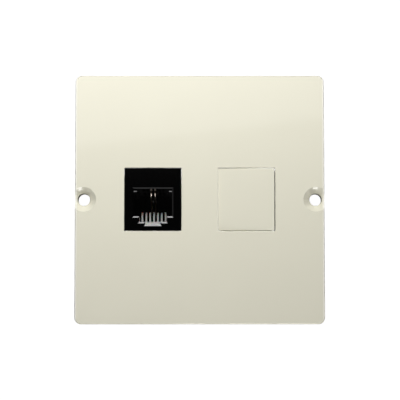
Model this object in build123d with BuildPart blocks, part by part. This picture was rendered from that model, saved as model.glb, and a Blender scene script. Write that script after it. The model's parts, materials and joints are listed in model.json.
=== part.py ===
from build123d import *
import math
import os

# Telephone wall plate: a cream faceplate with two snap-in ports, a jack in the left one and
# a blanking insert in the right one.
# The plate stands upright. Its face looks towards -Y and its back rim lies on the plane y = 0,
# with the origin midway between the two screws. A depth is measured from the face to the rear.

# Screws
screw_spacing = 60.0
screw_hole_diameter = 3.1
countersink_diameter = 6.4
countersink_angle = 90
boss_diameter = 7.4

# Faceplate
plate_width = 64.5
plate_height = 64.5
plate_depth = 4.0
face_thickness = 2.2
rim_width = 1.5
corner_radius = 1.8
rim_corner = 1.0
edge_round = 0.45
rib_thickness = 1.0
rib_setback = 0.6

# Ports and the collars behind them
port_pitch = 24.2
port_width = 14.8
port_height = 16.4
port_corner = 0.2
port_edge_round = 0.15
collar_wall = 1.5
collar_corner = 1.0
ledge_depth = 8.1
ledge_thickness = 1.6
pocket_below = 2.0
pocket_above = 4.0
aperture_below = 0.7
aperture_above = 2.2
collar_window_width = 9.0

# Snap fit, the same on the jack and the blanking insert
ledge_fit = 0.22
aperture_fit = 0.15
hook_fit = 0.3
lug_width = 13.4
lug_lip_length = 1.4
lug_foot_length = 2.2
latch_width = 6.0
latch_thickness = 1.1
latch_root_overlap = 0.5
latch_tooth_length = 2.3
latch_tooth_flat = 0.3
latch_tab_length = 2.6
latch_tab_rise = 1.0
tab_groove_count = 3
tab_groove_pitch = 0.7
tab_groove_depth = 0.25

# Jack body
jack_recess = 0.35
jack_fit = 0.08
jack_length = 16.65
jack_root = 2.7
jack_edge_round = 0.08
housing_wall = 1.3
roof_thickness = 1.2

# Plug cavity, with its stepped notch for the plug's tab
cavity_width = 9.95
cavity_height = 7.2
cavity_depth = 10.5
under_cavity = 3.72
cavity_step_width = 7.05
cavity_step_height = 1.5
cavity_notch_width = 4.0
cavity_notch_height = 0.7
cavity_lip = 1.3
cavity_lead_in_width = 0.3
cavity_lead_in_depth = 0.1
guide_width = 0.8
guide_height = 0.8
guide_setback = 0.35
guide_bevel_height = 0.2
guide_bevel_depth = 0.065

# Contacts
contact_positions = 6
contact_pitch = 1.02
wire_diameter = 0.45
wire_fit = 0.06
wire_bend = 1.65
wire_run_angle = 14
wire_knee_depth = 6.6
wire_knee_bend = 2.0
wire_tail = 0.5
web_thickness = 0.75
web_slot_length = 7.0
front_wall = 1.85
deck_thickness = 1.7
carrier_fit = 0.1
carrier_setback = 1.0

# Comb that parts the contacts' free ends
rib_width = 0.42
comb_height = 3.85
comb_reach = 0.95
comb_sill_height = 1.6
comb_bevel = 0.38
comb_root = 2.0
comb_fit = 0.08
wire_tip_drop = 0.2

# Circuit board
board_gap = 0.05
board_thickness = 1.2
board_margin = 0.45
pad_hole_diameter = 0.7
pin_hole_diameter = 1.0

# Termination block
block_thickness = 2.6
row_spacing = 8.0
tower_height = 4.6
tower_length = 8.5
tower_inset = 0.25
tower_bevel = 0.9
terminal_spacing = 6.8
wire_slot_width = 0.8
wire_slot_depth = 5.5
wire_slot_entry = 2.0
arm_thickness = 1.1
arm_height = 5.0
arm_gap = 0.1
arm_hook = 1.2
nub_width = 2.5
nub_height = 0.8
nub_length = 1.4
nub_inset = 2.4
nub_fit = 0.15
tail_recess = 1.0
tail_room_margin = 0.9

# Terminal blades
blade_width = 2.2
blade_thickness = 0.45
blade_fit = 0.08
blade_slit = 0.32
blade_slit_length = 5.0
blade_entry = 1.0
blade_tip_setback = 0.9
pin_width = 0.7

# Wire caps
cap_wall = 0.8
cap_fit = 0.15
cap_overlap = 3.2
cap_window = 1.4
cap_window_depth = 1.6
cap_edge_round = 0.4

# Blanking insert, which sits a little to the left, with its left edge pressed in too far
blank_gap = 0.13
blank_shift = 0.09
blank_lift = 0.02
blank_recess = 0.25
blank_turn = 1.6
blank_length = 11.0
blank_face = 1.6
blank_wall = 1.05
blank_step = 0.15
blank_root = 2.7
blank_roof = 6.65
blank_edge_round = 0.12

# Places worked out from the sizes above
ledge_back = ledge_depth + ledge_thickness
port_low = -port_height / 2
port_high = port_height / 2
pocket_low = port_low - pocket_below
pocket_high = port_high + pocket_above
aperture_low = port_low - aperture_below
aperture_high = port_high + aperture_above

jack_width = port_width - 2 * jack_fit
jack_low = port_low + jack_fit
jack_high = port_high - jack_fit
jack_back = jack_recess + jack_length
cavity_floor = jack_low + under_cavity
cavity_ceiling = cavity_floor + cavity_height
cavity_back = jack_recess + cavity_depth
step_floor = cavity_floor - cavity_step_height
notch_floor = step_floor - cavity_notch_height
tunnel_front = jack_recess + front_wall
tunnel_floor = cavity_ceiling + web_thickness
deck_low = tunnel_floor + carrier_fit
deck_high = deck_low + deck_thickness
tunnel_roof = deck_high + carrier_fit
roof_high = tunnel_roof + roof_thickness
groove_width = wire_diameter + 2 * wire_fit
tunnel_width = contact_positions * contact_pitch + 2 * groove_width
chamber_width = jack_width - 2 * housing_wall
carrier_front = cavity_back + carrier_fit / 2
carrier_back = jack_back - carrier_setback

comb_low = notch_floor + carrier_fit
comb_top = comb_low + comb_height
comb_front = carrier_front - comb_reach
comb_back = carrier_front + comb_root
comb_width = contact_positions * contact_pitch + rib_width

wire_height = deck_low + groove_width / 2
bend_depth = tunnel_front + wire_fit + wire_diameter / 2 + wire_bend
run_drop = math.radians(wire_run_angle)
corner_depth = bend_depth - wire_bend / math.tan(run_drop / 2)
knee_height = wire_height - (wire_knee_depth - corner_depth) * math.tan(run_drop)
tip_depth = carrier_front - wire_fit - wire_diameter
tip_height = comb_top - wire_tip_drop

board_front = jack_back + board_gap
board_back = board_front + board_thickness
block_front = board_back + board_gap
block_back = block_front + block_thickness
tower_back = block_back + tower_length
block_middle = (jack_low + roof_high) / 2
block_height = roof_high - jack_low
tower_width = jack_width - 2 * tower_inset
row_heights = (block_middle - row_spacing / 2, block_middle + row_spacing / 2)
terminal_places = (-terminal_spacing / 2, terminal_spacing / 2)
nub_front = jack_back - nub_inset - nub_length
nub_back = jack_back - nub_inset
blade_back = tower_back - blade_tip_setback
cap_back = tower_back + cap_fit + cap_wall

blank_width = port_width - 2 * blank_gap
blank_height = port_height - 2 * blank_gap


def port_seat(x, lift=0.0, recess=0.0, turn=0.0):
    """The plane of a piece's face: X to the right, Z up, looking out to the front.

    The seat is raised and pressed in by the given amounts and turned about its own vertical, so
    that a positive turn presses the left edge in.
    """
    sine = math.sin(math.radians(turn))
    cosine = math.cos(math.radians(turn))
    return Plane(
        origin=(x, recess - plate_depth, lift),
        x_dir=(cosine, -sine, 0),
        z_dir=(-sine, -cosine, 0),
    )


def behind(seat, depth):
    """The plane parallel to a seat, this far behind it."""
    return seat.offset(-depth)


def front_view(seat, depth, width, low, high, x=0.0, corner=0.0):
    """An upright rectangle behind a seat, between two heights, with round corners if asked."""
    with BuildSketch(behind(seat, depth)) as outline:
        with Locations((x, (low + high) / 2)):
            if corner:
                RectangleRounded(width, high - low, corner)
            else:
                Rectangle(width, high - low)
    return outline.sketch


def side_view(seat, x, points):
    """A closed outline seen from the side, given as (depth, height) points."""
    origin = seat.from_local_coords((x, 0, 0))
    with BuildSketch(Plane(origin=origin, x_dir=-seat.z_dir, z_dir=seat.x_dir)) as outline:
        with BuildLine():
            Polyline(*points, close=True)
        make_face()
    return outline.sketch


def plan_view(seat, height, points):
    """A closed outline seen from above, given as (x, depth) points."""
    origin = seat.from_local_coords((0, height, 0))
    with BuildSketch(Plane(origin=origin, x_dir=seat.x_dir, z_dir=(0, 0, 1))) as outline:
        with BuildLine():
            Polyline(*points, close=True)
        make_face()
    return outline.sketch


def lug(low, lift=0.0, recess=0.0):
    """Side outline of the fixed lug, a channel that holds the lower ledge between two lips."""
    ledge_front = ledge_depth - recess
    ledge_rear = ledge_back - recess
    lip_low = pocket_low + hook_fit - lift
    floor = aperture_low + aperture_fit - lift
    front_lip = ledge_front - ledge_fit
    rear_lip = ledge_rear + ledge_fit
    return [
        (front_lip - lug_foot_length, low),
        (front_lip - lug_lip_length, lip_low),
        (front_lip, lip_low),
        (front_lip, floor),
        (rear_lip, floor),
        (rear_lip, lip_low),
        (rear_lip + lug_lip_length, lip_low),
        (rear_lip + lug_foot_length, low),
    ]


def latch(root, high, lift=0.0, recess=0.0):
    """Side outline of the latch: an arm that climbs rearwards, its tooth and its finger tab.

    The tooth's steep back stands before the upper ledge and the tab's shoulder behind it.
    """
    tooth_top = pocket_high - hook_fit - lift
    arm_top = aperture_high - aperture_fit - lift
    tooth_back = ledge_depth - ledge_fit - recess
    tooth_foot = tooth_back - latch_tooth_length
    shoulder = ledge_back + ledge_fit - recess
    tab_back = shoulder + latch_tab_length
    foot_height = (high + arm_top) / 2
    return [
        (root - latch_root_overlap, high),
        (root, high),
        (tooth_foot, foot_height),
        (tooth_back - latch_tooth_flat, tooth_top),
        (tooth_back, tooth_top),
        (tooth_back, arm_top),
        (shoulder, arm_top),
        (shoulder, arm_top + latch_tab_rise),
        (tab_back, arm_top + latch_tab_rise),
        (tab_back, arm_top - latch_thickness / 2),
        (shoulder, arm_top - latch_thickness),
        (tooth_foot, foot_height - latch_thickness),
        (root, high - latch_thickness),
        (root - latch_root_overlap, high - latch_thickness),
    ]


def tab_grooves(lift=0.0, recess=0.0):
    """Side outlines of the grooves across the finger tab, which give a fingernail its grip."""
    top = aperture_high - aperture_fit - lift + latch_tab_rise
    middle = ledge_back + ledge_fit - recess + latch_tab_length / 2
    grooves = []
    for number in range(tab_groove_count):
        depth = middle + (number - (tab_groove_count - 1) / 2) * tab_groove_pitch
        grooves.append(
            [
                (depth - tab_groove_depth, top),
                (depth, top - tab_groove_depth),
                (depth + tab_groove_depth, top),
            ]
        )
    return grooves


plate_seat = port_seat(0)
jack_seat = port_seat(-port_pitch / 2)
blank_seat = port_seat(port_pitch / 2 - blank_shift, blank_lift, blank_recess, blank_turn)

# Faceplate: one moulding, with its rim, screw bosses, stiffening ribs and port collars
with BuildPart() as faceplate:
    with BuildSketch(behind(plate_seat, 0)):
        RectangleRounded(plate_width, plate_height, corner_radius)
    extrude(amount=-plate_depth)
    fillet(faceplate.edges().group_by(Axis.Y)[0], edge_round)

    with BuildSketch(behind(plate_seat, plate_depth)):
        RectangleRounded(plate_width - 2 * rim_width, plate_height - 2 * rim_width, rim_corner)
    extrude(amount=plate_depth - face_thickness, mode=Mode.SUBTRACT)

    with BuildSketch(behind(plate_seat, plate_depth)):
        with GridLocations(screw_spacing, 0, 2, 1):
            Circle(boss_diameter / 2)
        Rectangle(plate_width, plate_height - 2 * corner_radius, mode=Mode.INTERSECT)
    extrude(amount=plate_depth - face_thickness)

    with BuildSketch(behind(plate_seat, plate_depth - rib_setback)):
        Rectangle(plate_width - rim_width, rib_thickness)
        with GridLocations(port_pitch, 0, 2, 1):
            Rectangle(rib_thickness, plate_height - rim_width)
    extrude(amount=plate_depth - rib_setback - face_thickness)

    for seat in (jack_seat, port_seat(port_pitch / 2)):
        collar = front_view(
            seat,
            face_thickness,
            port_width + 2 * collar_wall,
            pocket_low - collar_wall,
            pocket_high + collar_wall,
            corner=collar_corner,
        )
        extrude(collar, amount=-(ledge_back - face_thickness))
        opening = front_view(seat, 0, port_width, port_low, port_high, corner=port_corner)
        extrude(opening, amount=-face_thickness, mode=Mode.SUBTRACT)
        pocket = front_view(seat, face_thickness, port_width, pocket_low, pocket_high)
        extrude(pocket, amount=-(ledge_depth - face_thickness), mode=Mode.SUBTRACT)
        aperture = front_view(seat, ledge_depth, port_width, aperture_low, aperture_high)
        extrude(aperture, amount=-ledge_thickness, mode=Mode.SUBTRACT)
        # The mould's cores, which form the ledges, leave a window above and below each collar.
        half_window = collar_window_width / 2
        window = plan_view(
            seat,
            0,
            [
                (-half_window, plate_depth),
                (half_window, plate_depth),
                (half_window, ledge_depth),
                (-half_window, ledge_depth),
            ],
        )
        extrude(window, amount=pocket_high + 2 * collar_wall, both=True, mode=Mode.SUBTRACT)

    mouths = faceplate.edges().group_by(Axis.Y)[0].filter_by_position(
        Axis.X, -port_pitch / 2 - port_width, port_pitch / 2 + port_width
    )
    mouths = mouths.filter_by_position(Axis.Z, port_low - 0.1, port_high + 0.1)
    fillet(mouths, port_edge_round)

    with Locations(behind(plate_seat, 0)):
        with GridLocations(screw_spacing, 0, 2, 1):
            CounterSinkHole(
                screw_hole_diameter / 2,
                countersink_diameter / 2,
                depth=plate_depth,
                counter_sink_angle=countersink_angle,
            )
faceplate.part.label = "faceplate"

# Jack housing: body, fixed lug, flexing latch, plug cavity and the chamber for the carrier
with BuildPart() as jack_housing:
    latch_front = jack_recess + jack_root
    body = [
        (jack_recess, jack_low),
        (jack_back, jack_low),
        (jack_back, roof_high),
        (latch_front, roof_high),
        (latch_front, jack_high),
        (jack_recess, jack_high),
    ]
    extrude(side_view(jack_seat, 0, body), amount=jack_width / 2, both=True)
    fillet(jack_housing.edges().group_by(Axis.Y)[0], jack_edge_round)
    extrude(side_view(jack_seat, 0, lug(jack_low)), amount=lug_width / 2, both=True)
    arm = latch(latch_front, jack_high)
    extrude(side_view(jack_seat, 0, arm), amount=latch_width / 2, both=True)
    for groove in tab_grooves():
        notch = side_view(jack_seat, 0, groove)
        extrude(notch, amount=latch_width / 2, both=True, mode=Mode.SUBTRACT)

    with BuildSketch(behind(jack_seat, jack_recess)):
        with BuildLine():
            Polyline(
                (0, cavity_ceiling),
                (cavity_width / 2, cavity_ceiling),
                (cavity_width / 2, cavity_floor),
                (cavity_step_width / 2, cavity_floor),
                (cavity_step_width / 2, step_floor),
                (cavity_notch_width / 2, step_floor),
                (cavity_notch_width / 2, notch_floor),
                (0, notch_floor),
            )
            mirror(about=Plane.YZ)
        make_face()
    extrude(amount=-cavity_lip, mode=Mode.SUBTRACT)
    jack_face = jack_housing.faces().sort_by(Axis.Y)[0]
    chamfer(
        jack_face.inner_wires()[0].edges(),
        length=cavity_lead_in_width,
        length2=cavity_lead_in_depth,
        reference=jack_face,
    )

    lip_back = jack_recess + cavity_lip
    cavity = front_view(jack_seat, lip_back, cavity_width, cavity_floor, cavity_ceiling)
    extrude(cavity, amount=-(cavity_back - lip_back), mode=Mode.SUBTRACT)
    tab_room = front_view(jack_seat, lip_back, cavity_step_width, notch_floor, cavity_floor)
    extrude(tab_room, amount=-(cavity_back - lip_back), mode=Mode.SUBTRACT)

    # Two guides fill the cavity's upper corners, with a bevel low on their fronts.
    guide_front = jack_recess + guide_setback
    guide_low = cavity_ceiling - guide_height
    guide_outline = [
        (guide_front, guide_low),
        (guide_front + guide_bevel_depth, guide_low + guide_bevel_height),
        (guide_front + guide_bevel_depth, cavity_ceiling),
        (cavity_back, cavity_ceiling),
        (cavity_back, guide_low),
    ]
    for side in (1, -1):
        x = side * (cavity_width - guide_width) / 2
        extrude(side_view(jack_seat, x, guide_outline), amount=guide_width / 2, both=True)

    chamber = front_view(jack_seat, cavity_back, chamber_width, notch_floor, tunnel_roof)
    extrude(chamber, amount=-(jack_back - cavity_back), mode=Mode.SUBTRACT)
    tunnel = front_view(jack_seat, tunnel_front, tunnel_width, tunnel_floor, tunnel_roof)
    extrude(tunnel, amount=-(cavity_back - tunnel_front), mode=Mode.SUBTRACT)

    with BuildSketch(behind(jack_seat, tunnel_front)):
        with Locations((0, (cavity_ceiling + tunnel_floor) / 2)):
            with GridLocations(contact_pitch, 0, contact_positions, 1):
                Rectangle(groove_width, web_thickness)
    extrude(amount=-web_slot_length, mode=Mode.SUBTRACT)

    nub_outline = [
        (jack_width / 2, nub_front),
        (jack_width / 2 + nub_height, nub_back),
        (jack_width / 2, nub_back),
    ]
    nub = plan_view(jack_seat, block_middle, nub_outline)
    extrude(nub, amount=nub_width / 2, both=True)
    left_nub = plan_view(jack_seat, block_middle, [(-x, depth) for x, depth in nub_outline])
    extrude(left_nub, amount=nub_width / 2, both=True)
jack_housing.part.label = "jack_housing"

# Contact carrier: the block that closes the cavity's back, and the deck over the cavity
with BuildPart() as contact_carrier:
    block = front_view(
        jack_seat,
        carrier_front,
        chamber_width - 2 * carrier_fit,
        notch_floor + carrier_fit,
        deck_high,
    )
    extrude(block, amount=-(carrier_back - carrier_front))
    deck_front = tunnel_front + carrier_fit
    deck = front_view(
        jack_seat, deck_front, tunnel_width - 2 * carrier_fit, deck_low, deck_high
    )
    extrude(deck, amount=-(carrier_front - deck_front))
    with BuildSketch(behind(jack_seat, deck_front)):
        with Locations((0, wire_height)):
            with GridLocations(contact_pitch, 0, contact_positions, 1):
                Rectangle(groove_width, groove_width)
    extrude(amount=-(carrier_back - deck_front), mode=Mode.SUBTRACT)
    comb_seat = front_view(
        jack_seat,
        carrier_front,
        comb_width + 2 * comb_fit,
        comb_low,
        comb_top + comb_fit,
    )
    extrude(comb_seat, amount=-(comb_root + comb_fit), mode=Mode.SUBTRACT)
contact_carrier.part.label = "contact_carrier"

# Contact comb: a sill whose rear is held in the carrier, and ribs between which the contacts end
with BuildPart() as contact_comb:
    sill = side_view(
        jack_seat,
        0,
        [
            (comb_front, comb_low),
            (comb_back, comb_low),
            (comb_back, comb_low + comb_sill_height),
            (comb_front, comb_low + comb_sill_height - comb_bevel),
        ],
    )
    extrude(sill, amount=comb_width / 2, both=True)
    rib_outline = [
        (comb_front, comb_low),
        (comb_back, comb_low),
        (comb_back, comb_top),
        (comb_front + comb_bevel, comb_top),
        (comb_front, comb_top - comb_bevel),
    ]
    for number in range(contact_positions + 1):
        x = (number - contact_positions / 2) * contact_pitch
        extrude(side_view(jack_seat, x, rib_outline), amount=rib_width / 2, both=True)
contact_comb.part.label = "contact_comb"

# Contacts: round sprung wire, straight along the deck, turned back under it in a wide bend, and
# bent down once more into the comb
contact_wires = []
for name, x in (("left", -contact_pitch / 2), ("right", contact_pitch / 2)):
    origin = jack_seat.from_local_coords((x, 0, 0))
    wire_plane = Plane(origin=origin, x_dir=-jack_seat.z_dir, z_dir=jack_seat.x_dir)
    wire_end = board_back + wire_tail
    with BuildPart() as wire:
        with BuildLine(wire_plane):
            FilletPolyline(
                (wire_end, wire_height),
                (corner_depth, wire_height),
                (wire_knee_depth, knee_height),
                (tip_depth, tip_height),
                radius=[wire_bend, wire_knee_bend],
            )
        with BuildSketch(behind(jack_seat, wire_end)):
            with Locations((x, wire_height)):
                Circle(wire_diameter / 2)
        sweep()
    wire.part.label = "contact_wire_" + name
    contact_wires.append(wire.part)

# Circuit board: holes for the contacts' tails and the blades' pins
with BuildPart() as circuit_board:
    board = front_view(
        jack_seat,
        board_front,
        jack_width - 2 * board_margin,
        jack_low + board_margin,
        roof_high - board_margin,
    )
    extrude(board, amount=-board_thickness)
    with BuildSketch(behind(jack_seat, board_front)):
        with Locations((0, wire_height)):
            with GridLocations(contact_pitch, 0, 2, 1):
                Circle(pad_hole_diameter / 2)
        with Locations((0, block_middle)):
            with GridLocations(terminal_spacing, row_spacing, 2, 2):
                Circle(pin_hole_diameter / 2)
    extrude(amount=-board_thickness, mode=Mode.SUBTRACT)
circuit_board.part.label = "circuit_board"

# Termination block: a base against the board, two slotted rows and two arms that hook the jack
with BuildPart() as termination_block:
    base = front_view(jack_seat, block_front, jack_width, jack_low, roof_high)
    extrude(base, amount=-block_thickness)
    with BuildSketch(behind(jack_seat, block_back)):
        with Locations((0, block_middle)):
            with GridLocations(0, row_spacing, 1, 2):
                Rectangle(tower_width, tower_height)
    extrude(amount=-tower_length)
    top_edges = termination_block.edges().group_by(Axis.Y)[-1]
    chamfer(top_edges.filter_by(Axis.X), tower_bevel)

    slot_front = tower_back - wire_slot_depth
    entry_depth = tower_back - wire_slot_entry / 2
    for x in terminal_places:
        slot_outline = [
            (x - wire_slot_width / 2, slot_front),
            (x + wire_slot_width / 2, slot_front),
            (x + wire_slot_width / 2, entry_depth),
            (x + wire_slot_entry / 2, tower_back),
            (x - wire_slot_entry / 2, tower_back),
            (x - wire_slot_width / 2, entry_depth),
        ]
        slot = plan_view(jack_seat, block_middle, slot_outline)
        extrude(slot, amount=block_height, both=True, mode=Mode.SUBTRACT)

    with BuildSketch(behind(jack_seat, block_front)):
        with Locations((0, block_middle)):
            with GridLocations(terminal_spacing, row_spacing, 2, 2):
                Rectangle(blade_width + 2 * blade_fit, blade_thickness + 2 * blade_fit)
    extrude(amount=-(blade_back + blade_fit - block_front), mode=Mode.SUBTRACT)
    tail_room = front_view(
        jack_seat,
        block_front,
        contact_pitch + 2 * tail_room_margin,
        wire_height - tail_room_margin,
        wire_height + tail_room_margin,
    )
    extrude(tail_room, amount=-tail_recess, mode=Mode.SUBTRACT)

    arm_inside = jack_width / 2 + arm_gap
    arm_front = nub_front - arm_hook
    arm_outline = [
        (jack_width / 2, block_back),
        (jack_width / 2, block_front),
        (arm_inside, block_front),
        (arm_inside, arm_front + arm_hook / 2),
        (arm_inside + arm_thickness / 2, arm_front),
        (arm_inside + arm_thickness, arm_front),
        (arm_inside + arm_thickness, block_back),
    ]
    arm_window = [
        (arm_inside, nub_front - nub_fit),
        (arm_inside + arm_thickness, nub_front - nub_fit),
        (arm_inside + arm_thickness, nub_back + nub_fit),
        (arm_inside, nub_back + nub_fit),
    ]
    for side in (1, -1):
        shape = plan_view(jack_seat, block_middle, [(side * x, y) for x, y in arm_outline])
        extrude(shape, amount=arm_height / 2, both=True)
        hole = plan_view(jack_seat, block_middle, [(side * x, y) for x, y in arm_window])
        extrude(hole, amount=nub_width / 2 + nub_fit, both=True, mode=Mode.SUBTRACT)
termination_block.part.label = "termination_block"

# Terminal blades: flat forks that cut through a wire's insulation, each with a pin to the board
idc_blades = []
for row, height in zip(("lower", "upper"), row_heights):
    for place, x in zip(("left", "right"), terminal_places):
        with BuildPart() as blade:
            fork = [
                (x - pin_width / 2, board_front),
                (x + pin_width / 2, board_front),
                (x + pin_width / 2, block_front + blade_fit),
                (x + blade_width / 2, block_front + blade_fit),
                (x + blade_width / 2, blade_back - blade_entry / 2),
                (x + blade_entry / 2 + blade_slit / 2, blade_back),
                (x + blade_slit / 2, blade_back - blade_entry),
                (x + blade_slit / 2, blade_back - blade_slit_length),
                (x - blade_slit / 2, blade_back - blade_slit_length),
                (x - blade_slit / 2, blade_back - blade_entry),
                (x - blade_entry / 2 - blade_slit / 2, blade_back),
                (x - blade_width / 2, blade_back - blade_entry / 2),
                (x - blade_width / 2, block_front + blade_fit),
                (x - pin_width / 2, block_front + blade_fit),
            ]
            extrude(
                plan_view(jack_seat, height, fork), amount=blade_thickness / 2, both=True
            )
        blade.part.label = "idc_blade_" + row + "_" + place
        idc_blades.append(blade.part)

# Wire caps: one over each row, open where the line wires leave
wire_caps = []
for row, height in zip(("lower", "upper"), row_heights):
    with BuildPart() as cap:
        cap_front = tower_back - cap_overlap
        inside_width = tower_width + 2 * cap_fit
        inside_height = tower_height + 2 * cap_fit
        outside = front_view(
            jack_seat,
            cap_front,
            inside_width + 2 * cap_wall,
            height - inside_height / 2 - cap_wall,
            height + inside_height / 2 + cap_wall,
        )
        extrude(outside, amount=-(cap_back - cap_front))
        fillet(cap.edges().group_by(Axis.Y)[-1], cap_edge_round)
        inside = front_view(
            jack_seat,
            cap_front,
            inside_width,
            height - inside_height / 2,
            height + inside_height / 2,
        )
        extrude(inside, amount=-(cap_overlap + cap_fit), mode=Mode.SUBTRACT)
        with BuildSketch(behind(jack_seat, cap_front)):
            with Locations((0, height)):
                with GridLocations(terminal_spacing, 0, 2, 1):
                    Rectangle(cap_window, inside_height + 4 * cap_wall)
        extrude(amount=-cap_window_depth, mode=Mode.SUBTRACT)
    cap.part.label = "wire_cap_" + row
    wire_caps.append(cap.part)

# Blanking insert: a closed face with a slightly narrower hollow body behind it, on the same lug
# and latch as the jack. The latch lies in a channel between the full height of the side walls.
with BuildPart() as blanking_insert:
    closed_face = front_view(blank_seat, 0, blank_width, -blank_height / 2, blank_height / 2)
    extrude(closed_face, amount=-blank_face)
    face = blanking_insert.faces().sort_by(Axis.Y)[0]
    fillet(face.edges(), blank_edge_round)
    body_width = blank_width - 2 * blank_step
    hollow_width = body_width - 2 * blank_wall
    body = front_view(blank_seat, blank_face, body_width, -blank_height / 2, blank_height / 2)
    extrude(body, amount=-(blank_length - blank_face))
    channel = front_view(blank_seat, blank_root, hollow_width, blank_roof, blank_height / 2)
    extrude(channel, amount=-(blank_length - blank_root), mode=Mode.SUBTRACT)
    lug_outline = lug(-blank_height / 2, blank_lift, blank_recess)
    extrude(side_view(blank_seat, 0, lug_outline), amount=lug_width / 2, both=True)
    arm = latch(blank_root, blank_height / 2, blank_lift, blank_recess)
    extrude(side_view(blank_seat, 0, arm), amount=latch_width / 2, both=True)
    for groove in tab_grooves(blank_lift, blank_recess):
        notch = side_view(blank_seat, 0, groove)
        extrude(notch, amount=latch_width / 2, both=True, mode=Mode.SUBTRACT)
    hollow = front_view(
        blank_seat,
        blank_face,
        hollow_width,
        -blank_height / 2 + blank_wall,
        blank_roof - blank_wall,
    )
    extrude(hollow, amount=-(blank_length - blank_face), mode=Mode.SUBTRACT)
blanking_insert.part.label = "blanking_insert"

pieces = [
    faceplate.part,
    jack_housing.part,
    contact_carrier.part,
    contact_comb.part,
    *contact_wires,
    circuit_board.part,
    termination_block.part,
    *idc_blades,
    *wire_caps,
    blanking_insert.part,
]
os.makedirs("parts", exist_ok=True)
for piece in pieces:
    export_step(piece, "parts/" + piece.label + ".step")
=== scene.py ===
import json
import math

import bpy
import numpy as np
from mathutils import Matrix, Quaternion, Vector


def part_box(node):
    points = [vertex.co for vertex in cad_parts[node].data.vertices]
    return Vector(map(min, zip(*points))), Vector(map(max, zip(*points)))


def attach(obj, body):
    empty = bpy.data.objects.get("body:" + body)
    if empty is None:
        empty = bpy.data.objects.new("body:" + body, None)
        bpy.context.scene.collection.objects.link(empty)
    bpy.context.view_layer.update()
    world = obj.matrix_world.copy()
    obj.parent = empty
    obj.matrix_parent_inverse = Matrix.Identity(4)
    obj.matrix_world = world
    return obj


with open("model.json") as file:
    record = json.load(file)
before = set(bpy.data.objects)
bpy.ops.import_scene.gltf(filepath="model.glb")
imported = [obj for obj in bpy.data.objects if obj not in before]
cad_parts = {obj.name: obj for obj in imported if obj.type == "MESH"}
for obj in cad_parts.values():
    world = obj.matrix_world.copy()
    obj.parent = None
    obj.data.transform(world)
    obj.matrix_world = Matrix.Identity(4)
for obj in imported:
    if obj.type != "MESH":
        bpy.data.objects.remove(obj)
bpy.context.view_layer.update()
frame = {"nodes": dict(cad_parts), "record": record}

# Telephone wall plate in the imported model's frame: face towards -Y, Z up, origin midway between
# the two screws on the plane of the back rim. Lengths are in metres.
MM = 0.001
IMAGE_SIDE = 400

# Camera: in front of the plate and a little below its middle, looking slightly up, as in the
# photograph. It covers this width at the plate's face, whose middle lies at the middle pixel.
COVERED_WIDTH = 103.17 * MM
MIDDLE_PIXEL = (199.7, 199.2)
CAMERA_DISTANCE = 380 * MM
CAMERA_DROP = 32 * MM
LENS_SHIFT = 0.05
SENSOR_WIDTH = 36.0
CLIP_START = 0.05
CLIP_END = 20.0

# Lamps: a near softbox above the plate, a small lamp below in front as the bounce of a table,
# and one above and behind for the back
SOFTBOX_PLACE = (-16 * MM, -200 * MM, 180 * MM)
SOFTBOX_AIM = (-0.33, 0.97, -0.08)
SOFTBOX_SIDE = 170 * MM
SOFTBOX_WATTS = 1.018
BOUNCE_PLACE = (50 * MM, -60 * MM, -250 * MM)
BOUNCE_AIM = (0, 0.2, 1)
BOUNCE_SIDE = 120 * MM
BOUNCE_WATTS = 0.31
BACK_LAMP_PLACE = (60 * MM, 330 * MM, 320 * MM)
BACK_LAMP_SIDE = 260 * MM
BACK_LAMP_WATTS = 2.2

# Cards that the glossy mouldings mirror. The wide one hangs far in front, rolled so that its
# lower edge rises to the right, and gives the faint line across the plate's upper half. The
# small one at the left gives the thin line down the right bevel of the plug cavity.
CARD_PLACE = (6.896 * MM, -1500 * MM, 272.602 * MM)
CARD_SIZE = (900 * MM, 120 * MM)
CARD_ROLL = 6.6
CARD_RADIANCE = 0.72
SIDE_CARD_PLACE = (-620 * MM, -790 * MM, 82 * MM)
SIDE_CARD_SIZE = (100 * MM, 70 * MM)
SIDE_CARD_RADIANCE = 0.34

# Room: its own faint light, and the pale stage that only glows where it is seen
ROOM_LIGHT = 0.015
STAGE_SIDE = 6.0
STAGE_PAPER = "F4F3F1"
FLOOR_HEIGHT = -320 * MM
FLOOR_GLOW = 0.6
BACKDROP_DISTANCE = 1.6
BACKDROP_GLOW = 1.0

# Faceplate measures that its finish follows, and the roughness of each of its surfaces. The back
# finish fades in as the surface turns to face +Y, between these two parts of its normal.
SCREW_REACH = 30 * MM
HOLE_WALL_RADIUS = 1.62 * MM
ROUNDED_EDGE = 31.8 * MM
BACK_FACING = (0.2, 0.8)
FACE_ROUGHNESS = 0.03
BACK_ROUGHNESS = 0.45
WORN_ROUGHNESS = 0.85

# Marks of the mould on the plate's back: places across and up, and profiles in millimetres, as
# the radius and how far the mark stands out there
PLATE_BACK = -1.8 * MM
PIN_PLACES = [(x * MM, z * MM) for z in (-23.5, 23.5) for x in (-21.5, 0, 21.5)]
PIN_PROFILE = [(1.5, -0.1), (1.5, 0.12), (1.4, 0.15), (1.32, 0.12), (1.26, 0.05), (0.4, 0.04)]
GATE_PLACE = (0.0, 11.5 * MM)
GATE_PROFILE = [(0.9, -0.1), (0.82, 0.06), (0.6, 0.14), (0.55, 0.5), (0.46, 0.58), (0.2, 0.55)]
TURNED_SIDES = 48

# The jack guides' bevels: middle and reach, in height and in depth
GUIDE_BEVEL_HEIGHT = (2.1 * MM, 0.2 * MM)
GUIDE_BEVEL_DEPTH = (-3.25 * MM, 0.2 * MM)
GUIDE_ROUGHNESS = 0.45

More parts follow.
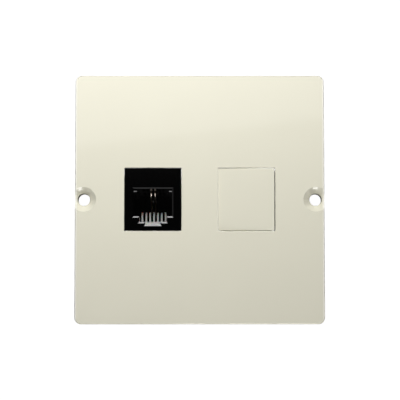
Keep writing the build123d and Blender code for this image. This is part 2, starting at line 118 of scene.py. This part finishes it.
# Contacts, going up them: the plate begins and is whole, the dark, duller band begins, is whole,
# fades and ends. That band and the wire below the plate are painted shade. Dullness is the share
# of the unplated wire's roughness at each of these heights.
PLATING_SPAN = 3.0 * MM
PLATING_HEIGHTS = [h * MM for h in (0.5, 0.8, 1.6, 1.75, 2.42, 2.5)]
PLATING_DULLNESS = (1, 0, 0, 0.6, 0.6, 0.7)
BARE_WIRE_ROUGHNESS = 0.5


def srgb(code):
    """A colour written as six sRGB hex digits, as the linear values that a socket takes."""
    parts = np.array([int(code[i : i + 2], 16) for i in (0, 2, 4)]) / 255
    linear = np.where(parts <= 0.04045, parts / 12.92, ((parts + 0.055) / 1.055) ** 2.4)
    return (*linear.tolist(), 1.0)


def add(tree, kind, values=None, links=None, **settings):
    """Adds a node with its settings, the values of its inputs and the outputs that feed them."""
    node = tree.nodes.new(kind)
    for name, value in settings.items():
        setattr(node, name, value)
    for name, value in (values or {}).items():
        node.inputs[name].default_value = value
    for name, output in (links or {}).items():
        tree.links.new(output, node.inputs[name])
    return node


def empty_tree(owner):
    """The node tree of a new material or world, switched on and emptied."""
    owner.use_nodes = True
    owner.node_tree.nodes.clear()
    return owner.node_tree


def blank_material(name):
    """A new material, its empty tree, and the object's own coordinates in that tree."""
    material = bpy.data.materials.new(name)
    tree = empty_tree(material)
    return material, tree, add(tree, "ShaderNodeTexCoord").outputs["Object"]


def cells(size):
    """The Scale that gives a noise features of this size."""
    return 1 / size


def matt_and_painted_zones(tree, place):
    """Where the plate is made matt and its colour is painted lighter or darker: the screw holes'
    walls, the rounded top edge and the side edges.

    Each is 1 in its zone and 0 elsewhere. A wall lies within the hole's radius of its axis, and
    an edge lies past the height or the reach to either side where the face begins to round off.
    """
    apart = add(tree, "ShaderNodeSeparateXYZ", links={"Vector": place})
    across = add(tree, "ShaderNodeMath", links={0: apart.outputs["X"]}, operation="ABSOLUTE")
    flat = add(
        tree,
        "ShaderNodeCombineXYZ",
        links={"X": across.outputs["Value"], "Z": apart.outputs["Z"]},
    )
    from_axis = add(
        tree,
        "ShaderNodeVectorMath",
        {1: (SCREW_REACH, 0, 0)},
        {0: flat.outputs["Vector"]},
        operation="DISTANCE",
    )
    walls = add(
        tree,
        "ShaderNodeMath",
        {1: HOLE_WALL_RADIUS},
        {0: from_axis.outputs["Value"]},
        operation="LESS_THAN",
    )
    top = add(
        tree,
        "ShaderNodeMath",
        {1: ROUNDED_EDGE},
        {0: apart.outputs["Z"]},
        operation="GREATER_THAN",
    )
    sides = add(
        tree,
        "ShaderNodeMath",
        {1: ROUNDED_EDGE},
        {0: across.outputs["Value"]},
        operation="GREATER_THAN",
    )
    return walls.outputs["Value"], top.outputs["Value"], sides.outputs["Value"]


def moulded_cream():
    """ABS from a polished mould: a clear, narrow gloss over a cream body colour.

    The colour drifts by a hair over a centimetre, as the melt's flow leaves it, and the gloss has
    the long low waves of a moulded skin. The back, from an unpolished steel mould half, is
    duller.
    The walls of the screw holes are matt and painted dark grey, a painted shade for the dark
    inside the holes. The rounded top edge is matt and painted darker, a painted shade over the
    light it catches, and the side edges are matt and painted a little paler, painted light on
    them.
    """
    material, tree, place = blank_material("cream_abs_moulded")
    walls, top, sides = matt_and_painted_zones(tree, place)
    flow = add(
        tree,
        "ShaderNodeTexNoise",
        {"Scale": cells(11 * MM), "Detail": 2.0, "Roughness": 0.4},
        {"Vector": place},
    )
    body = add(
        tree,
        "ShaderNodeMix",
        {"A": srgb("E6E3D1"), "B": srgb("E3E0CE")},
        {"Factor": flow.outputs["Fac"]},
        data_type="RGBA",
    )
    colour = body.outputs["Result"]
    # Painted shade and light: the screw holes' walls are painted dark grey as the shade inside
    # the holes, the side edges paler as light on them, and the rounded top edge darker to tone
    # down the light it catches.
    for zone, tint in ((walls, "7E7B6E"), (sides, "F7F5EA"), (top, "D6D3C3")):
        tinted = add(
            tree,
            "ShaderNodeMix",
            {"B": srgb(tint)},
            {"Factor": zone, "A": colour},
            data_type="RGBA",
        )
        colour = tinted.outputs["Result"]
    normal = add(tree, "ShaderNodeNewGeometry").outputs["Normal"]
    facing = add(tree, "ShaderNodeSeparateXYZ", links={"Vector": normal})
    gloss = add(
        tree,
        "ShaderNodeMapRange",
        {
            "From Min": BACK_FACING[0],
            "From Max": BACK_FACING[1],
            "To Min": FACE_ROUGHNESS,
            "To Max": BACK_ROUGHNESS,
        },
        {"Value": facing.outputs["Y"]},
    )
    edges = add(tree, "ShaderNodeMath", links={0: top, 1: sides}, operation="MAXIMUM")
    dull_and_painted = add(
        tree,
        "ShaderNodeMath",
        links={0: walls, 1: edges.outputs["Value"]},
        operation="MAXIMUM",
    )
    rough = add(
        tree,
        "ShaderNodeMix",
        {"B": WORN_ROUGHNESS},
        {"Factor": dull_and_painted.outputs["Value"], "A": gloss.outputs["Result"]},
    )
    waves = add(
        tree,
        "ShaderNodeTexNoise",
        {"Scale": cells(5 * MM), "Detail": 1.0},
        {"Vector": place},
    )
    skin = add(
        tree,
        "ShaderNodeBump",
        {"Strength": 1.0, "Distance": 0.002 * MM},
        {"Height": waves.outputs["Fac"]},
    )
    shader = add(
        tree,
        "ShaderNodeBsdfPrincipled",
        {"IOR": 1.53},
        {
            "Base Color": colour,
            "Roughness": rough.outputs["Result"],
            "Normal": skin.outputs["Normal"],
        },
    )
    add(tree, "ShaderNodeOutputMaterial", links={"Surface": shader.outputs["BSDF"]})
    return material


def moulded_black():
    """Black polycarbonate from a polished mould: near black, and clear gloss over a fine grain.

    The two guides in the plug cavity come from spark-eroded pins, which leave their bevels dull.
    """
    material, tree, place = blank_material("black_polycarbonate_moulded")
    grain = add(
        tree,
        "ShaderNodeTexNoise",
        {"Scale": cells(0.25 * MM), "Detail": 2.0},
        {"Vector": place},
    )
    skin = add(
        tree,
        "ShaderNodeBump",
        {"Strength": 0.5, "Distance": 0.001 * MM},
        {"Height": grain.outputs["Fac"]},
    )
    gloss = add(
        tree,
        "ShaderNodeMapRange",
        {"To Min": 0.06, "To Max": 0.09},
        {"Value": grain.outputs["Fac"]},
    )
    apart = add(tree, "ShaderNodeSeparateXYZ", links={"Vector": place})
    in_reach = [
        add(
            tree,
            "ShaderNodeMath",
            {1: middle, 2: reach},
            {0: apart.outputs[axis]},
            operation="COMPARE",
        ).outputs["Value"]
        for axis, (middle, reach) in (("Z", GUIDE_BEVEL_HEIGHT), ("Y", GUIDE_BEVEL_DEPTH))
    ]
    eroded = add(
        tree,
        "ShaderNodeMath",
        links={0: in_reach[0], 1: in_reach[1]},
        operation="MULTIPLY",
    )
    rough = add(
        tree,
        "ShaderNodeMix",
        {"B": GUIDE_ROUGHNESS},
        {"Factor": eroded.outputs["Value"], "A": gloss.outputs["Result"]},
    )
    shader = add(
        tree,
        "ShaderNodeBsdfPrincipled",
        {"Base Color": srgb("020202"), "IOR": 1.5},
        {"Roughness": rough.outputs["Result"], "Normal": skin.outputs["Normal"]},
    )
    add(tree, "ShaderNodeOutputMaterial", links={"Surface": shader.outputs["BSDF"]})
    return material


def pale_nylon():
    """Uncoloured nylon: a milky grey that light enters a little way, satin, faintly mottled."""
    material, tree, place = blank_material("natural_nylon")
    mottle = add(
        tree,
        "ShaderNodeTexNoise",
        {"Scale": cells(1.5 * MM), "Detail": 3.0},
        {"Vector": place},
    )
    colour = add(
        tree,
        "ShaderNodeMix",
        {"A": srgb("E8E8E4"), "B": srgb("DAD9D4")},
        {"Factor": mottle.outputs["Fac"]},
        data_type="RGBA",
    )
    gloss = add(
        tree,
        "ShaderNodeMapRange",
        {"To Min": 0.34, "To Max": 0.46},
        {"Value": mottle.outputs["Fac"]},
    )
    shader = add(
        tree,
        "ShaderNodeBsdfPrincipled",
        {"IOR": 1.53, "Subsurface Weight": 0.15, "Subsurface Scale": 0.4 * MM},
        {"Base Color": colour.outputs["Result"], "Roughness": gloss.outputs["Result"]},
    )
    add(tree, "ShaderNodeOutputMaterial", links={"Surface": shader.outputs["BSDF"]})
    return material


def plating_bands(tree, height, shades):
    """The shades of a contact going up it, one at each of the plating heights."""
    ramp = add(tree, "ShaderNodeValToRGB", links={"Fac": height})
    elements = ramp.color_ramp.elements
    while len(elements) < len(shades):
        elements.new(1.0)
    for element, up, shade in zip(elements, PLATING_HEIGHTS, shades):
        element.position = up / PLATING_SPAN
        element.color = shade
    return ramp.outputs["Color"]


def gold_wire():
    """Drawn spring wire with a thin pale gold plate where a plug's contacts press on it.

    The plate gives a bright, pale warm metal. A band of it is duller and painted near black, a
    painted shade that keeps that stretch of the bend dark, and below the plated stretch the wire
    is painted dark brown, a painted shade for the lower wire.
    """
    material, tree, place = blank_material("gold_plated_wire")
    apart = add(tree, "ShaderNodeSeparateXYZ", links={"Vector": place})
    height = add(
        tree,
        "ShaderNodeMapRange",
        {"From Min": 0.0, "From Max": PLATING_SPAN},
        {"Value": apart.outputs["Z"]},
    ).outputs["Result"]
    # Painted shade: the wire below the plate and the duller band on it are painted near black, so
    # those stretches stay dark; the pale gold is the plate's own colour.
    bare_painted_dark, gold, dull_and_painted = srgb("3A2E20"), srgb("E6D8CC"), srgb("3A332B")
    colour = plating_bands(tree, height, (bare_painted_dark, gold, gold, dull_and_painted, dull_and_painted, gold))
    dull = plating_bands(tree, height, [(share, share, share, 1) for share in PLATING_DULLNESS])
    lines = add(
        tree,
        "ShaderNodeTexNoise",
        {"Scale": cells(0.12 * MM), "Detail": 1.0},
        {"Vector": place},
    )
    shine = add(
        tree,
        "ShaderNodeMapRange",
        {"To Min": 0.14, "To Max": 0.26},
        {"Value": lines.outputs["Fac"]},
    )
    rough = add(
        tree,
        "ShaderNodeMix",
        {"B": BARE_WIRE_ROUGHNESS},
        {"Factor": dull, "A": shine.outputs["Result"]},
    )
    shader = add(
        tree,
        "ShaderNodeBsdfPrincipled",
        {"Metallic": 1.0},
        {"Base Color": colour, "Roughness": rough.outputs["Result"]},
    )
    add(tree, "ShaderNodeOutputMaterial", links={"Surface": shader.outputs["BSDF"]})
    return material


def tinned_bronze():
    """Tinned bronze strip: a grey metal with the soft cloudiness of dipped tin."""
    material, tree, place = blank_material("tinned_bronze_strip")
    cloud = add(
        tree,
        "ShaderNodeTexNoise",
        {"Scale": cells(0.7 * MM), "Detail": 3.0},
        {"Vector": place},
    )
    gloss = add(
        tree,
        "ShaderNodeMapRange",
        {"To Min": 0.28, "To Max": 0.48},
        {"Value": cloud.outputs["Fac"]},
    )
    shader = add(
        tree,
        "ShaderNodeBsdfPrincipled",
        {"Base Color": srgb("C9C7C0"), "Metallic": 1.0},
        {"Roughness": gloss.outputs["Result"]},
    )
    add(tree, "ShaderNodeOutputMaterial", links={"Surface": shader.outputs["BSDF"]})
    return material


def board_laminate():
    """Glass-filled laminate: green resist on its two faces, straw-coloured sawn edges."""
    material, tree, place = blank_material("circuit_board_laminate")
    normal = add(tree, "ShaderNodeNewGeometry").outputs["Normal"]
    facing = add(tree, "ShaderNodeSeparateXYZ", links={"Vector": normal})
    flat = add(tree, "ShaderNodeMath", links={0: facing.outputs["Y"]}, operation="ABSOLUTE")
    layers = add(
        tree,
        "ShaderNodeTexNoise",
        {"Scale": cells(0.3 * MM), "Detail": 2.0},
        {"Vector": place},
    )
    edge = add(
        tree,
        "ShaderNodeMix",
        {"A": srgb("B9AE7C"), "B": srgb("8F8A5C")},
        {"Factor": layers.outputs["Fac"]},
        data_type="RGBA",
    )
    colour = add(
        tree,
        "ShaderNodeMix",
        {"B": srgb("1F5B34")},
        {"Factor": flat.outputs["Value"], "A": edge.outputs["Result"]},
        data_type="RGBA",
    )
    shader = add(
        tree,
        "ShaderNodeBsdfPrincipled",
        {"IOR": 1.55, "Roughness": 0.38},
        {"Base Color": colour.outputs["Result"]},
    )
    add(tree, "ShaderNodeOutputMaterial", links={"Surface": shader.outputs["BSDF"]})
    return material


def studio_paper(name, glow):
    """Pale paper that keeps shadows and adds white light of its own only where it is seen.

    It is seen by the camera, in a mirroring surface, or through a clear one.
    """
    material = bpy.data.materials.new(name)
    tree = empty_tree(material)
    rays = add(tree, "ShaderNodeLightPath").outputs
    seen = rays["Is Camera Ray"]
    for ray in ("Is Glossy Ray", "Is Transmission Ray"):
        either = add(tree, "ShaderNodeMath", links={0: seen, 1: rays[ray]}, operation="MAXIMUM")
        seen = either.outputs["Value"]
    strength = add(tree, "ShaderNodeMath", {1: glow}, {0: seen}, operation="MULTIPLY")
    paint = add(tree, "ShaderNodeBsdfDiffuse", {"Color": srgb(STAGE_PAPER)})
    light = add(
        tree,
        "ShaderNodeEmission",
        {"Color": (1, 1, 1, 1)},
        {"Strength": strength.outputs["Value"]},
    )
    both = add(
        tree,
        "ShaderNodeAddShader",
        links={0: paint.outputs["BSDF"], 1: light.outputs["Emission"]},
    )
    add(tree, "ShaderNodeOutputMaterial", links={"Surface": both.outputs["Shader"]})
    return material


def mesh_object(name, points, faces, material, smooth=True):
    """A mesh object at the origin, with its place in its points."""
    mesh = bpy.data.meshes.new(name)
    mesh.from_pydata(points.tolist(), [], faces)
    mesh.materials.append(material)
    mesh.polygons.foreach_set("use_smooth", np.full(len(mesh.polygons), smooth))
    mesh.update()
    obj = bpy.data.objects.new(name, mesh)
    bpy.context.scene.collection.objects.link(obj)
    return obj


def turned_piece(name, profile, centre, material):
    """A closed surface turned about a line along Y, with a pole level with each end ring.

    A point is centre + (radius * cos t, reach, -radius * sin t), for t round the circle and
    (radius, reach) along the profile. Quads join neighbouring rings, and a fan of triangles
    joins each end ring to its pole.
    """
    turn = np.linspace(0, 2 * math.pi, TURNED_SIDES, endpoint=False)
    radius, reach = np.array(profile).T[:, :, None]
    rings = np.stack(
        np.broadcast_arrays(radius * np.cos(turn), reach, -radius * np.sin(turn)), axis=-1
    )
    poles = [(0, profile[0][1], 0), (0, profile[-1][1], 0)]
    points = np.concatenate([rings.reshape(-1, 3), poles]) + centre

    side = np.arange(TURNED_SIDES)
    following = (side + 1) % TURNED_SIDES
    starts = TURNED_SIDES * np.arange(len(profile))[:, None]
    low, high = starts[:-1], starts[1:]
    quads = np.stack([low + side, low + following, high + following, high + side], axis=-1)
    first_pole = np.full(TURNED_SIDES, rings.size // 3)
    first_fan = np.stack([first_pole, following, side], axis=-1)
    last_fan = np.stack([first_pole + 1, starts[-1] + side, starts[-1] + following], axis=-1)
    faces = quads.reshape(-1, 4).tolist() + first_fan.tolist() + last_fan.tolist()
    return mesh_object(name, points, faces, material)


def place_mould_marks(cream):
    """Witness rings of the ejector pins and the broken gate, raised on the plate's back."""
    marks = [(f"ejector_mark_{i}", p, PIN_PROFILE) for i, p in enumerate(PIN_PLACES, 1)]
    marks.append(("gate_vestige", GATE_PLACE, GATE_PROFILE))
    for name, (across, up), profile in marks:
        outline = [(radius * MM, reach * MM) for radius, reach in profile]
        mark = turned_piece(name, outline, (across, PLATE_BACK, up), cream)
        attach(mark, "root")


def place_camera():
    """Camera in front of the plate and a little below its middle, tilted up at it."""
    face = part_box("faceplate")[0].y
    scale = COVERED_WIDTH / IMAGE_SIDE
    aim = Vector(
        (
            (IMAGE_SIDE / 2 - MIDDLE_PIXEL[0]) * scale,
            face,
            (MIDDLE_PIXEL[1] - IMAGE_SIDE / 2) * scale - LENS_SHIFT * COVERED_WIDTH,
        )
    )
    data = bpy.data.cameras.new("camera")
    camera = bpy.data.objects.new("camera", data)
    bpy.context.scene.collection.objects.link(camera)
    camera.location = (aim.x, face - CAMERA_DISTANCE, -CAMERA_DROP)
    look = aim - camera.location
    camera.rotation_mode = "QUATERNION"
    camera.rotation_quaternion = look.to_track_quat("-Z", "Y")
    data.sensor_width = SENSOR_WIDTH
    data.lens = SENSOR_WIDTH * look.length / COVERED_WIDTH
    data.shift_y = LENS_SHIFT
    data.clip_start = CLIP_START
    data.clip_end = CLIP_END
    bpy.context.scene.camera = camera


def area_lamp(name, place, aim, size, watts, roll=0.0):
    """A rectangular lamp at a place, shining along its aim, rolled about it by some degrees."""
    data = bpy.data.lights.new(name, "AREA")
    data.shape = "RECTANGLE"
    data.size, data.size_y = size
    data.energy = watts
    lamp = bpy.data.objects.new(name, data)
    bpy.context.scene.collection.objects.link(lamp)
    lamp.location = place
    lamp.rotation_mode = "QUATERNION"
    level = Vector(aim).to_track_quat("-Z", "Y")
    lamp.rotation_quaternion = level @ Quaternion((0, 0, 1), math.radians(roll))


def bright_card(name, place, aim, size, radiance, roll=0.0):
    """An area lamp given by how bright it looks: its watts are radiance * pi * area."""
    width, height = size
    area_lamp(name, place, aim, size, radiance * math.pi * width * height, roll)


def place_lamps():
    """Softbox, bounce, the two cards that the gloss mirrors, and the lamp for the back."""
    area_lamp("softbox", SOFTBOX_PLACE, SOFTBOX_AIM, (SOFTBOX_SIDE, SOFTBOX_SIDE), SOFTBOX_WATTS)
    area_lamp("bounce", BOUNCE_PLACE, BOUNCE_AIM, (BOUNCE_SIDE, BOUNCE_SIDE), BOUNCE_WATTS)
    bright_card("card", CARD_PLACE, (0, 1, 0), CARD_SIZE, CARD_RADIANCE, CARD_ROLL)
    bright_card(
        "side_card",
        SIDE_CARD_PLACE,
        -Vector(SIDE_CARD_PLACE),
        SIDE_CARD_SIZE,
        SIDE_CARD_RADIANCE,
    )
    area_lamp(
        "back_lamp",
        BACK_LAMP_PLACE,
        -Vector(BACK_LAMP_PLACE),
        (BACK_LAMP_SIDE, BACK_LAMP_SIDE),
        BACK_LAMP_WATTS,
    )


def light_room():
    """The room's own faint light, and plain white where the camera sees past the stage."""
    world = bpy.data.worlds.new("studio")
    tree = empty_tree(world)
    rays = add(tree, "ShaderNodeLightPath")
    strength = add(
        tree,
        "ShaderNodeMapRange",
        {"To Min": ROOM_LIGHT, "To Max": 1.0},
        {"Value": rays.outputs["Is Camera Ray"]},
    )
    room = add(
        tree,
        "ShaderNodeBackground",
        {"Color": (1, 1, 1, 1)},
        {"Strength": strength.outputs["Result"]},
    )
    add(tree, "ShaderNodeOutputWorld", links={"Surface": room.outputs["Background"]})
    bpy.context.scene.world = world
    bpy.context.scene.view_settings.view_transform = "Standard"


def place_stage():
    """A pale floor below the plate and a white backdrop behind it."""
    half = STAGE_SIDE / 2
    corners = [(-half, -half), (half, -half), (half, half), (-half, half)]
    floor = [(x, y, FLOOR_HEIGHT) for x, y in corners]
    backdrop = [(x, BACKDROP_DISTANCE, max(z, FLOOR_HEIGHT)) for x, z in corners]
    for name, points, glow in (
        ("floor", floor, FLOOR_GLOW),
        ("backdrop", backdrop, BACKDROP_GLOW),
    ):
        paper = studio_paper(f"studio_{name}_paper", glow)
        mesh_object(name, np.array(points), [(0, 1, 2, 3)], paper, smooth=False)


FINISHES = {
    "cream_plastic": moulded_cream,
    "black_plastic": moulded_black,
    "pale_nylon": pale_nylon,
    "gold_plated_wire": gold_wire,
    "board_laminate": board_laminate,
    "tinned_bronze": tinned_bronze,
}
finishes = {slot: make() for slot, make in FINISHES.items()}
for subpart in frame["record"]["subparts"]:
    node = frame["nodes"][subpart["node"]]
    for material_slot in node.material_slots:
        material_slot.material = finishes[subpart["material_slot"]]

place_mould_marks(finishes["cream_plastic"])
place_camera()
place_lamps()
light_room()
place_stage()
